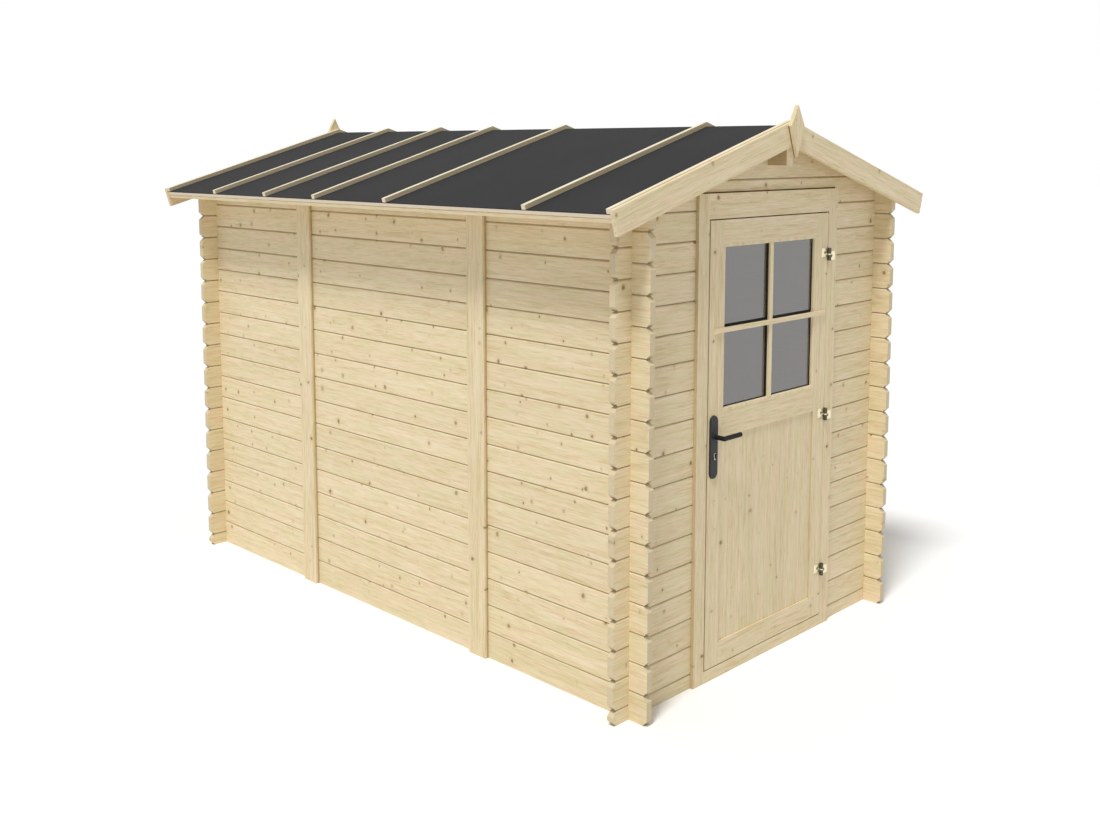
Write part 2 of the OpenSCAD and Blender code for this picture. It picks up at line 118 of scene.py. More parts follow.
class ShedRoof(bpy.types.PropertyGroup):
    """Sizes and colours of the roof."""
    boards: IntProperty(name="Boards", default=33,
                        description="Boards on each slope of the roof")
    joint_w: FloatProperty(name="Joint width", unit="LENGTH", default=0.005,
                           description="Width of the V joint under the roof boards")
    joint_d: FloatProperty(name="Joint depth", unit="LENGTH", default=0.003,
                           description="Depth of the V joint under the roof boards")
    sawn: FloatVectorProperty(name="Sawn ends", subtype="COLOR", default=linear(234, 219, 198),
                              description="Colour of the boards' ends at the eaves")
    felt: FloatVectorProperty(name="Felt", subtype="COLOR", default=linear(42, 42, 43),
                              description="Colour of the roofing felt")


class ShedDoor(bpy.types.PropertyGroup):
    """Sizes and colours of the door's glazing, boards and fittings."""
    bead_w: FloatProperty(name="Bead width", unit="LENGTH", default=0.014,
                          description="Width of the beads round the window")
    bar_w: FloatProperty(name="Bar width", unit="LENGTH", default=0.0228,
                         description="Width of the upright glazing bar")
    bar_x: FloatProperty(name="Bar place", unit="LENGTH", default=-0.0032,
                         description="Middle of the upright glazing bar across the door")
    lath_z: FloatProperty(name="Lath height", unit="LENGTH", default=1.4135,
                          description="Middle of the lath across the window")
    lath_h: FloatProperty(name="Lath width", unit="LENGTH", default=0.020,
                          description="Height of the lath across the window")
    lath_left: FloatProperty(name="Lath's left end", unit="LENGTH", default=-0.3886,
                             description="Place of the lath's end on the lock stile")
    lath_right: FloatProperty(name="Lath's right end", unit="LENGTH", default=0.3946,
                              description="Place of the lath's end on the hinge stile")
    boards: IntProperty(name="Boards", default=7,
                        description="Upright boards in the lower panel")
    glass: FloatVectorProperty(name="Glass", subtype="COLOR", default=(0.28, 0.275, 0.268),
                               description="Tint of the glass")
    # Real seals, and also painted shade and painted reflection: near black, for the dark lines along the
    # panes
    seal_and_shade: FloatVectorProperty(name="Seal", subtype="COLOR", default=(0.014, 0.012, 0.010),
                              description="Colour of the seals round the panes")
    # Painted shade: colour of the dark strip that stands for the shadow in the gap over the door head
    gap_shadow_strip: FloatVectorProperty(name="Packing", subtype="COLOR", default=linear(96, 78, 46),
                                 description="Colour of the packing over the door's head")
    zinc: FloatVectorProperty(name="Zinc", subtype="COLOR", default=linear(248, 238, 204),
                              description="Colour of the hinges")
    black: FloatVectorProperty(name="Black", subtype="COLOR", default=linear(46, 45, 48),
                               description="Colour of the handles")


class ShedStage(bpy.types.PropertyGroup):
    """Light, floor and camera."""
    floor: FloatVectorProperty(name="Floor", subtype="COLOR", default=(0.8, 0.8, 0.8),
                               description="Colour of the floor as it lights the shed")
    sky: FloatProperty(name="Sky", default=0.45,
                       description="Strength of the even light from all round")
    lamp: FloatProperty(name="Lamp", default=2.10,
                        description="Strength of the lamp high on the left")
    lens: FloatProperty(name="Lens", default=39.0,
                        description="Focal length of the camera in millimetres")


# Shader maths

class Wire:
    """A shader socket in Python arithmetic: each operator adds one Math node to the material."""

    def __init__(self, finish, socket):
        self.finish = finish
        self.socket = socket

    def out(self, name):
        """Another output of the same node."""
        return Wire(self.finish, self.socket.node.outputs[name])

    def _math(self, operation, first, second=0.0):
        """One Math node."""
        return self.finish.node("ShaderNodeMath", {"operation": operation}, {0: first, 1: second})

    def __add__(self, other):
        return self._math("ADD", self, other)

    def __sub__(self, other):
        return self._math("SUBTRACT", self, other)

    def __mul__(self, other):
        return self._math("MULTIPLY", self, other)

    def __truediv__(self, other):
        return self._math("DIVIDE", self, other)

    def __pow__(self, other):
        return self._math("POWER", self, other)

    def __abs__(self):
        return self._math("ABSOLUTE", self)

    def __rsub__(self, other):
        return self._math("SUBTRACT", other, self)

    def __rtruediv__(self, other):
        return self._math("DIVIDE", other, self)

    __radd__ = __add__
    __rmul__ = __mul__

    def fract(self):
        """Part after the decimal point."""
        return self._math("FRACT", self)

    def ramp(self, low, high):
        """0 at low and 1 at high, with a smooth step between them."""
        return self.finish.node("ShaderNodeMapRange", {"interpolation_type": "SMOOTHSTEP"},
                                {"Value": self, "From Min": low, "From Max": high})


class Finish:
    """A material or world in the making, to which node() adds any node."""

    def __init__(self, name, family="materials"):
        self.owner = getattr(bpy.data, family).new(name)
        self.owner.use_nodes = True
        self.tree = self.owner.node_tree
        self.tree.nodes.clear()

    def node(self, kind, settings=None, sockets=None, output=0):
        """Any node: its settings first, such as an operation or a ramp's stops, and then the values or links
        of its sockets. Gives one of its outputs."""
        made = self.tree.nodes.new(kind)
        for key, value in (settings or {}).items():
            if key == "stops":
                self._stops(made.color_ramp.elements, value)
            else:
                setattr(made, key, value)
        for key, value in (sockets or {}).items():
            if isinstance(value, Wire):
                self.tree.links.new(value.socket, made.inputs[key])
            else:
                made.inputs[key].default_value = value
        return Wire(self, made.outputs[output]) if made.outputs else None

    def _stops(self, elements, stops):
        """A ramp's stops, each a place from 0 to 1 and a colour."""
        while len(elements) < len(stops):
            elements.new(1.0)
        for element, (place, colour) in zip(elements, stops):
            element.position = place
            element.color = (*colour, 1.0)

    def place(self, output="Object"):
        """Object coordinates, or another output of the coordinate node."""
        return self.node("ShaderNodeTexCoord", output=output)

    def vector(self, operation, first, second=(0, 0, 0), output=0):
        """Vector Math on two vectors."""
        return self.node("ShaderNodeVectorMath", {"operation": operation}, {0: first, 1: second}, output)

    def split(self, vector):
        """The three numbers of a vector, by the names of their axes."""
        x = self.node("ShaderNodeSeparateXYZ", sockets={0: vector}, output="X")
        return {"X": x, "Y": x.out("Y"), "Z": x.out("Z")}

    def join(self, x, y, z=0.0):
        """A vector from three numbers."""
        return self.node("ShaderNodeCombineXYZ", sockets={"X": x, "Y": y, "Z": z})

    def mix(self, share, first, second, blend="MIX"):
        """Colours mixed by a share."""
        def colour(value):
            return value if isinstance(value, Wire) else (*value, 1.0)
        return self.node("ShaderNodeMix", {"data_type": "RGBA", "blend_type": blend},
                         {0: share, 6: colour(first), 7: colour(second)}, 2)

    def noise(self, vector, scale=1.0, detail=2.0, rough=0.5):
        """Noise from 0 to 1 at a place."""
        return self.node("ShaderNodeTexNoise", sockets={
            "Vector": vector, "Scale": scale, "Detail": detail, "Roughness": rough})

    def bump(self, height, strength, distance):
        """Normal tilted by a height."""
        return self.node("ShaderNodeBump", sockets={
            "Strength": strength, "Distance": distance, "Height": height})

    def principled(self, **sockets):
        """Closes the material with a Principled shader; names with _ for spaces give its sockets."""
        values = {}
        for key, value in sockets.items():
            values[key.replace("_", " ")] = (*value, 1.0) if isinstance(value, tuple) else value
        shader = self.node("ShaderNodeBsdfPrincipled", sockets=values)
        self.node("ShaderNodeOutputMaterial", sockets={"Surface": shader})
        return self.owner

    def seen(self):
        """1 for rays from the camera, also mirrored or through glass, and 0 for rays that carry light."""
        rays = self.node("ShaderNodeLightPath", output="Is Camera Ray")
        return (rays + rays.out("Is Glossy Ray") + rays.out("Is Transmission Ray")).ramp(0, 1)


# Materials

# Cells of wood along an axis: one for the whole shed, or one on each side of its middle
WHOLE = 1e4
HALVES = 5.0


def pine(name, grain, cells, shift=(0, 0, 0), turn=0.0, knots=(0.16, 0.075), knot_r=(4.0, 4.5), seam=None,
         edge=None, tint=(1.0, 1.0, 1.0)):
    """Planed pine. The grain is given as the axis along it and the axis across it on the face, after a turn
    about Y for boards on the slope. Each cell is one piece of wood and gets a random shift and tone. Grain
    is noise drawn out along the piece, with growth rings as contour lines of a slower noise, and it bends
    round the knots. Logs have a seam, at a height given in courses, with painted shade beside it. Other
    pieces can have narrow edges in a second colour, given as in narrow_edges: painted shade on most of
    them, and the paler sawn end grain on the roof boards."""
    wood = bpy.context.scene.shed_wood
    f = Finish(name)
    place = f.place()
    if turn:
        place = f.node("ShaderNodeMapping", sockets={"Vector": place, "Rotation": (0, turn, 0)})
    cell = f.node("ShaderNodeMapping", sockets={
        "Vector": place, "Location": tuple(0.5 if c == WHOLE else s / c for s, c in zip(shift, cells)),
        "Scale": tuple(1 / c for c in cells)})
    chance = f.node("ShaderNodeTexWhiteNoise", {"noise_dimensions": "3D"},
                    {"Vector": f.vector("FLOOR", cell)}, "Color")
    own = f.split(f.vector("ADD", place, f.vector("MULTIPLY", chance, (11.0, 13.0, 17.0))))
    u, v = own.pop(grain[0]), own.pop(grain[1])
    w, = own.values()

    core, halo, aside = knot_field(f, u, v, w, knots, knot_r)
    bent = v - aside * halo * 0.7
    streak = f.noise(f.join(u * 2.6, bent * 65, w * 65), detail=3.0)
    dash = f.noise(f.join(u * 14, bent * 230, w * 230), detail=2.0)
    fibre = f.noise(f.join(u * 60, bent * 900, w * 900), detail=1.0)
    slow = f.noise(f.join(u * 0.4, bent * 5.5, w * 5.5), detail=1.0)
    patch = f.noise(f.join(u * 5, bent * 30, w * 30)).ramp(0.36, 0.64)
    ring = (slow * 19).fract() ** 2
    lines = streak * 0.34 + dash * 0.46 + ring * 0.06 + fibre * 0.16

    stops = ((0.36, wood.pale), (0.52, wood.warm), (0.72, wood.deep))
    colour = f.node("ShaderNodeValToRGB", {"stops": stops}, {"Fac": lines})
    colour = f.mix(1.0, colour, f.mix(patch, (1.005, 0.985, 0.975), (0.95, 0.975, 0.90)), "MULTIPLY")
    dull, fresh = np.multiply((0.955, 0.95, 0.935), tint), np.multiply(1.02, tint)
    colour = f.mix(1.0, colour, f.mix(f.split(chance)["X"], dull, fresh), "MULTIPLY")
    colour = f.mix(halo * 0.45, colour, wood.deep)
    colour = f.mix(core * 0.9, colour, wood.knot)
    if seam is not None:
        colour = log_edges(f, colour, grain[0], seam)
    if edge:
        colour = narrow_edges(f, colour, *edge)
    return f.principled(
        Base_Color=colour, Roughness=lines * 0.25 + 0.48, IOR=1.4,
        Normal=f.bump(fibre * 0.5 + dash * 0.35 + ring * 0.15 - core * 0.4, 0.2, 0.0009))


def knot_field(f, u, v, w, spacing, size):
    """Knots: ellipses with ragged rims round the nearest of many scattered points, which have a spacing along
    the grain and one across it. Each knot has a random strength and a random radius in millimetres, the first
    size and up to the second more. Gives the share of knot at a place, the share of the halo round it, and
    the distance from its middle across the grain."""
    field = f.join(u / spacing[0], v / spacing[1])
    spot = f.node("ShaderNodeTexVoronoi", {"voronoi_dimensions": "2D"},
                  {"Vector": field, "Scale": 1.0, "Randomness": 0.95}, "Position")
    off = f.vector("MULTIPLY", f.vector("SUBTRACT", field, spot), (spacing[0], spacing[1] * 0.85, 0))
    luck = f.node("ShaderNodeSeparateColor", sockets={0: spot.out("Color")})
    radius = (luck * luck * size[1] + size[0]) * MM
    strong = luck.out("Green").ramp(bpy.context.scene.shed_wood.knot_share, 0)
    ragged = f.noise(f.join(u * 90, v * 90, w * 90))
    reach = f.vector("LENGTH", off, output="Value") / radius + (ragged - 0.5) * 1.2
    return reach.ramp(1.5, 0.4) * strong, reach.ramp(3.6, 0.8) * strong, f.split(off)["Y"]


def log_edges(f, colour, along, seam):
    """A log's colour with painted shade at its edges: the bevels that look down into a seam and the insides
    of the notches between the log ends are darkened where shade falls, fading away from the seam; and
    duller end grain."""
    wood = bpy.context.scene.shed_wood
    facing = f.split(f.place("Normal"))
    end = facing[along] * facing[along]
    slope = end.ramp(0.15, 0.4)
    under, over = facing["Z"].ramp(-0.25, -0.6), facing["Z"].ramp(0.25, 0.6)
    level = f.split(f.place())["Z"] / wood.course + (0.5 - seam)
    away = abs(level.fract() - 0.5) * wood.course
    # Painted shade: the notch insides and the down-facing seam bevels darken towards the seam, where shade
    # falls
    painted_notch_shade = slope * (under * away.ramp(15 * MM, 5 * MM) + over * away.ramp(6 * MM, 2 * MM) * 0.6)
    shade = under * (1 - slope) * away.ramp(7 * MM, 0.5 * MM) * 0.8 + painted_notch_shade * 0.7
    colour = f.mix(end.ramp(0.3, 0.5) * 0.65, colour, wood.end)
    return f.mix(shade, colour, wood.seam)


def narrow_edges(f, colour, axis, share, shade, across=None, level=0.0, depth=0.0):
    """A piece's colour with a share of a second colour on the edges that face along an axis: all over, or
    only to a depth from a joint, which lies at a level across another axis on both sides of the middle, and
    then not where they look up. The second colour is painted shade on most pieces, where the edges lie beside
    a joint or under the roof, and the paler sawn end grain at the eave ends of the roof boards."""
    facing = f.split(f.place("Normal"))
    narrow = (facing[axis] * facing[axis]).ramp(0.5, 0.8) * share
    if across:
        # Painted shade: only the part of the edge next to the joint darkens, as a contact shadow
        away = abs(abs(f.split(f.place())[across]) - level)
        narrow = narrow * away.ramp(depth, depth * 0.7) * facing["Z"].ramp(0.2, 0.05)
    return f.mix(narrow, colour, shade)


def scaled(colour, factor):
    """A colour made lighter or darker, up to full strength."""
    return tuple(min(1, c * factor) for c in colour)


def roof_felt():
    """Sanded bitumen felt: dark grey with fine grit and slow patches."""
    f = Finish("sanded_felt")
    place = f.place()
    grit = f.noise(place, 900, 2.0, 0.7)
    patch = f.noise(place, 2.2, 3.0)
    felt = bpy.context.scene.shed_roof.felt
    stops = ((0.3, scaled(felt, 0.78)), (0.7, scaled(felt, 1.22)))
    colour = f.node("ShaderNodeValToRGB", {"stops": stops}, {"Fac": grit * 0.5 + patch * 0.5})
    return f.principled(Base_Color=colour, Roughness=grit * 0.2 + 0.8, Specular_IOR_Level=0.25,
                        Normal=f.bump(grit, 0.5, 0.0012))


def metal(name, colour, rough, metallic=1.0, scale=220, shine=0.5, barrel=None):
    """Metal or coated metal with fine uneven gloss. Within a radius of an upright barrel's middle it is
    painted dark, a painted reflection of dark surroundings on the hinge barrel, but for bright rings at
    the joints, where the plain colour is left, which follow each other at a step from the lowest."""
    f = Finish(name)
    speck = f.noise(f.place(), scale, 2.0)
    shade = f.mix(speck.ramp(0.35, 0.7), scaled(colour, 0.86), scaled(colour, 1.08))
    if barrel:
        middle, radius, joint, step = barrel
        x, y, z = f.split(f.place()).values()
        away = ((x - middle[0]) ** 2 + (y - middle[1]) ** 2) ** 0.5
        ring = abs(((z - joint) / step + 0.5).fract() - 0.5).ramp(2 * MM / step, 3 * MM / step)
        # Painted reflection: the barrel darkens as if it mirrored dark surroundings; the joint rings keep the
        # plate colour
        dark = away.ramp(radius * 1.04, radius * 0.98) * ring * 0.95
        shade = f.mix(dark, shade, scaled(colour, 0.07))
    return f.principled(Base_Color=shade, Metallic=metallic, Roughness=speck * 0.16 + rough,
                        Specular_IOR_Level=shine, Normal=f.bump(speck, 0.08, 0.0004))


def rubber(name, colour):
    """Dull rubber, or a dark strip of painted shade, with a fine uneven skin."""
    f = Finish(name)
    speck = f.noise(f.place(), 500, 2.0)
    shade = f.mix(speck, scaled(colour, 0.7), scaled(colour, 1.3))
    return f.principled(Base_Color=shade, Roughness=speck * 0.2 + 0.65, Specular_IOR_Level=0.2,
                        Normal=f.bump(speck, 0.2, 0.0003))


def pane():
    """Grey coated glass: it reflects evenly, lets some light through and holds faint dust."""
    f = Finish("coated_glass")
    dust = f.noise(f.place(), 9, 3.0)
    return f.principled(Base_Color=tuple(bpy.context.scene.shed_door.glass), Metallic=1.0,
                        Roughness=dust * 0.03 + 0.02, Alpha=0.72)


def paint(nodes, material):
    """Gives CAD nodes a material."""
    for name in nodes:
        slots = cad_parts[name].data.materials
        slots.clear()
        slots.append(material)


# Shapes

def loft(sections, closed=False):
    """Wall through loops of points: point j of loop i joins point j of loop i + 1. The first and last loops
    are capped, or joined to each other when the path is closed. Like every shape here it is given as its
    points, its faces of four points, and its caps."""
    count, size = sections.shape[:2]
    steps = np.arange(count if closed else count - 1)[:, None] * size
    ring = np.arange(size)
    after = (ring + 1) % size
    total = count * size
    ahead = steps + size
    quads = np.stack([steps + ring, steps + after, (ahead + after) % total, (ahead + ring) % total], -1)
    caps = [] if closed else [ring[::-1], ring + total - size]
    return sections.reshape(-1, 3), quads.reshape(-1, 4), caps


def merge(*shapes):
    """Several shapes as one: their points in a row, with the numbers in their faces moved up to match."""
    points, quads, caps = zip(*shapes)
    starts = np.cumsum([0, *map(len, points[:-1])])
    moved = [some + start for some, start in zip(quads, starts)]
    ends = [cap + start for some, start in zip(caps, starts) for cap in some]
    return np.concatenate(points), np.concatenate(moved), ends


def outward(points, quads, caps):
    """A shape with faces that look outwards: they are turned round where the signed volume, summed over the
    triangles that fan out from each face's first point, is negative."""
    fans = [np.stack([np.full(len(cap) - 2, cap[0]), cap[1:-1], cap[2:]], 1) for cap in caps]
    triangles = np.concatenate([quads[:, :3], quads[:, [0, 2, 3]], *fans])
    first, second, third = points[triangles.T]
    if np.einsum("ij,ij->", first, np.cross(second, third)) < 0:
        quads, caps = quads[:, ::-1], [cap[::-1] for cap in caps]
    return points, quads, caps


def put(name, shape, body, material, smooth=False, replaces=()):
    """Makes a shape a piece at the origin that rides on a body."""
    points, quads, caps = outward(*shape)
    mesh = bpy.data.meshes.new(name)
    mesh.from_pydata(points.tolist(), [], quads.tolist() + [cap.tolist() for cap in caps])
    mesh.polygons.foreach_set("use_smooth", np.full(len(mesh.polygons), smooth))
    mesh.materials.append(material)
    mesh.validate()
    piece = bpy.data.objects.new(name, mesh)
    bpy.context.scene.collection.objects.link(piece)
    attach(piece, body)
    if replaces:
        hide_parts(*replaces)


def soft_rectangle(low, high, radius):
    """Outline of a rectangle with its corners cut at 45 degrees by a radius."""
    (a0, b0), (a1, b1), r = low, high, radius
    return np.array([(a0 + r, b0), (a1 - r, b0), (a1, b0 + r), (a1, b1 - r),
                     (a1 - r, b1), (a0 + r, b1), (a0, b1 - r), (a0, b0 + r)])


def bar(outline, axis, start, end):
    """Bar: an outline of (a, b) points in the plane across an axis, carried along it from start to end. The
    plane's axes are the other two in the order X, Y, Z."""
    sections = np.zeros((2, len(outline), 3))
    first, second, third = {"X": (0, 1, 2), "Y": (1, 0, 2), "Z": (2, 0, 1)}[axis]
    sections[0, :, first], sections[1, :, first] = start, end
    sections[:, :, second] = outline[:, 0]
    sections[:, :, third] = outline[:, 1]
    return loft(sections)


def heads(places, normal, profile, sides=10):
    """Round heads of nails or screws: a profile of (radius, height) points in millimetres, turned about the
    normal at each place."""
    normal = np.array(normal, float) / np.linalg.norm(normal)
    side = np.cross(normal, (0, 1, 0) if abs(normal[1]) < 0.9 else (1, 0, 0))
    side /= np.linalg.norm(side)
    angle = np.arange(sides) * TURN / sides
    circle = np.cos(angle)[:, None] * side + np.sin(angle)[:, None] * np.cross(normal, side)
    profile = np.array(profile) * MM
    one = profile[:, 0, None, None] * circle + profile[:, 1, None, None] * normal
    return merge(*(loft(one + np.array(place, float)) for place in places))


NAIL = [(2.4, -0.6), (2.4, 0.2), (1.9, 0.55), (0.5, 0.7)]
SCREW = [(3.6, -0.6), (3.6, 0.25), (3.0, 0.75), (1.7, 0.95), (1.5, 0.1), (0.3, 0.05)]
COLLAR = [(13.5, -1.0), (13.5, 2.0), (12.5, 3.0), (10.5, 3.4), (9.4, 3.4)]


def board_joints(low, high, count, half, deep):
    """Places along a row of boards where the V joints between them start, are deepest and end, and the depths
    there."""
    joints = low + (high - low) / count * np.arange(1, count)
    places = np.stack([joints - half, joints, joints + half], 1).ravel()
    return places, np.tile([0.0, deep, 0.0], len(joints))


# Operators

class SHED_OT_logs(bpy.types.Operator):
    """Finishes the log walls"""
    bl_idname = "shed.logs"
    bl_label = "Log walls"

    def execute(self, context):
        course = context.scene.shed_wood.course
        front_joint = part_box("left_wall_front_logs")[1].y
        rear_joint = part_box("left_wall_rear_logs")[0].y
        cells = (HALVES, rear_joint - front_joint, course)
        paint(SIDE_LOGS, pine("side_logs", "YZ", cells, (0, -front_joint, 0), seam=0.0))
        for nodes, name, cells in ((SPLIT_LOGS, "door_wall_logs", (HALVES, WHOLE, course)),
                                   (WHOLE_LOGS, "gable_logs", (WHOLE, HALVES, course))):
            paint(nodes, pine(name, "XZ", cells, (0, 0, course / 2), knots=(0.21, 0.09), seam=0.5))
        return {"FINISHED"}


class SHED_OT_trim(bpy.types.Operator):
    """Finishes the battens, purlin, laths, bargeboards and finials, with painted shade on some edges"""
    bl_idname = "shed.trim"
    bl_label = "Roof and wall trim"

    def execute(self, context):
        wood = context.scene.shed_wood
        wall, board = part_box("right_wall_middle_logs")[1].x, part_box("rear_bargeboard_left")[1].y
        # Painted shade: the battens' sides darken in the seam colour next to the wall, as a contact shadow
        paint(BATTENS, pine("upright_battens", "ZY", (HALVES, HALVES, WHOLE), knots=(0.3, 0.08),
                            edge=("Y", 0.45, wood.seam, "X", wall, 11 * MM)))
        # Painted shade: the purlin's sides darken, as in the shade under the roof
        for nodes, name, edge in ((["ridge_purlin"], "purlin", ("X", 0.8, wood.edge)),
                                  (["eave_batten_left", "eave_batten_right"], "eave_battens", None)):
            paint(nodes, pine(name, "YZ", (0.5, WHOLE, WHOLE), (0.25, 0, 0), knots=(0.3, 0.08),
                              knot_r=(2.5, 3.0), edge=edge))
        # Painted shade: the finials' sides darken next to the bargeboard, as a shadow in the gap
        paint([f"{end}_finial" for end in ENDS],
              pine("finials", "ZX", (WHOLE,) * 3, knots=(0.4, 0.2),
                   edge=("X", 0.9, wood.seam, "Y", board, 6 * MM)))
        for side, sign in SIDES.items():
            turn = -sign * ROOF_PITCH
            paint([f"{end}_bargeboard_{side}" for end in ENDS],
                  pine(f"bargeboards_{side}", "XZ", (WHOLE,) * 3, turn=turn, knots=(0.22, 0.10)))
            # Painted shade: the laths' long sides darken, as a shadow line beside each lath
            paint([f"roof_laths_{side}"],
                  pine(f"roof_laths_{side}", "XY", (WHOLE, 0.2, WHOLE), turn=turn, knots=(0.5, 0.1),
                       knot_r=(2.0, 2.0), edge=("Y", 0.6, wood.edge), tint=(1.05, 1.13, 1.28)))
        return {"FINISHED"}


class SHED_OT_joinery(bpy.types.Operator):
    """Finishes the door frame and the door's stiles and rails, and makes the stop bead and a dark strip of
    painted shade over the door head
    """
    bl_idname = "shed.joinery"
    bl_label = "Door frame and leaf"

    def execute(self, context):
        # Painted shade: the sides of the left jamb and of the stiles, also in the window and panel reveals,
        # darken as if in shade
        edge = ("X", 0.6, context.scene.shed_wood.edge)
        paint(["door_jamb_left", "door_stiles"], self.upright("door_uprights", edge))
        hinge_jamb = self.upright("hinge_jamb", None)
        paint(["door_jamb_right"], hinge_jamb)
        self.stop_bead(hinge_jamb)
        paint(["door_head", "door_sill", "door_rails"],
              pine("door_crosspieces", "XZ", (WHOLE, WHOLE, 0.7), knots=(0.24, 0.09)))
        # Painted shade: a dark strip in the gap over the door head
        self.gap_shadow_strip(rubber("gap_shadow_strip", context.scene.shed_door.gap_shadow_strip))
        return {"FINISHED"}

    def upright(self, name, edge):
        """Pine with its grain upright, in one piece for each side of the leaf and each jamb."""
        return pine(name, "ZX", (0.836, WHOLE, WHOLE), (0.418, 0, 0), knots=(0.28, 0.08), edge=edge)

    def stop_bead(self, wood):
        """Stop bead: a slim bar with cut corners on the hinge jamb that narrows the gap beside the leaf."""
        low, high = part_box("door_stiles")
        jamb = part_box("door_head")[1].x
        outline = soft_rectangle((high.x + 2 * MM, low.y + 1.2 * MM), (jamb - 0.1 * MM, low.y + 14 * MM),
                                 0.7 * MM)
        put("stop_bead", bar(outline, "Z", low.z + 6 * MM, high.z - 6 * MM), "shed", wood)

    def gap_shadow_strip(self, material):
        """Dark strip with cut corners in the gap between the door head and the log over it: painted shade for
        that gap.
        """
        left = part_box("door_jamb_left")[0].x
        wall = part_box("front_gable_logs")[0].y
        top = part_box("door_head")[1].z
        outline = soft_rectangle((wall - 0.6 * MM, top + 0.1 * MM), (wall + 5 * MM, top + 5 * MM), 0.4 * MM)
        put("head_gap_shadow_strip", bar(outline, "X", left, -left), "shed", material)


class SHED_OT_roof(bpy.types.Operator):
    """Makes the tongued roof boards and finishes the felt"""
    bl_idname = "shed.roof"
    bl_label = "Roof boards and felt"

    def execute(self, context):
        roof = context.scene.shed_roof
        paint(["roof_felt"], roof_felt())
        for side, sign in SIDES.items():
            self.boards(roof, side, sign)
        return {"FINISHED"}

    def boards(self, roof, side, sign):
        """Slope of boards: a section along Y, flat on top, with a V at every joint underneath, carried from
        the ridge down the slope. At the ridge it is cut upright, at the eave square to the slope with a
        chamfer below. Its thickness follows from the box, because the eave's lowest corner and the peak lie
        on the slope's two faces."""
        low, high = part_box(f"roof_boards_{side}")
        cos, sin = math.cos(ROOF_PITCH), math.sin(ROOF_PITCH)
        reach = max(abs(low.x), abs(high.x))
        thick = (high.z - low.z - reach * sin / cos) / (1 / cos - sin * sin / cos)
        places, rise = board_joints(low.y, high.y, roof.boards, roof.joint_w / 2, roof.joint_d)
        along = np.concatenate([[low.y], places, [high.y, high.y, low.y]])
        up = np.concatenate([[0.0], rise, [0.0, thick, thick]])
        ridge_z = high.z - thick / cos
        eave_x = reach - thick * sin
        eave_z = ridge_z - eave_x * sin / cos
        cut = 3 * MM
        over = np.maximum(up, cut)
        ridge = np.stack([np.zeros_like(up), along, ridge_z + up / cos], 1)
        near = np.stack([sign * (eave_x + up * sin - cut * cos), along, eave_z + up * cos + cut * sin], 1)
        eave = np.stack([sign * (eave_x + over * sin), along, eave_z + over * cos], 1)
        cells = (WHOLE, (high.y - low.y) / roof.boards, WHOLE)
        wood = pine(f"roof_boards_{side}", "XY", cells, (0, -low.y, 0), turn=-sign * ROOF_PITCH,
                    knots=(0.25, 0.09), edge=("X", 0.8, roof.sawn))
        put(f"tongued_boards_{side}", loft(np.stack([ridge, near, eave])), "shed", wood,
            replaces=[f"roof_boards_{side}"])


class SHED_OT_panel(bpy.types.Operator):
    """Makes the upright boards of the door's lower panel"""
    bl_idname = "shed.panel"
    bl_label = "Door panel"

    def execute(self, context):
        low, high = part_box("door_panel")
        count = context.scene.shed_door.boards
        places, dip = board_joints(low.x, high.x, count, 1.5 * MM, 1.3 * MM)
        across = np.concatenate([[low.x], places, [high.x, high.x], places[::-1], [low.x]])
        depth = np.concatenate([[low.y], low.y + dip, [low.y, high.y], high.y - dip[::-1], [high.y]])
        wood = pine("panel_boards", "ZX", ((high.x - low.x) / count, WHOLE, WHOLE), (-low.x, 0, 0),
                    knots=(0.3, 0.08))
        put("panel_boards", bar(np.stack([across, depth], 1), "Z", low.z, high.z), "door", wood,
            replaces=["door_panel"])
        return {"FINISHED"}


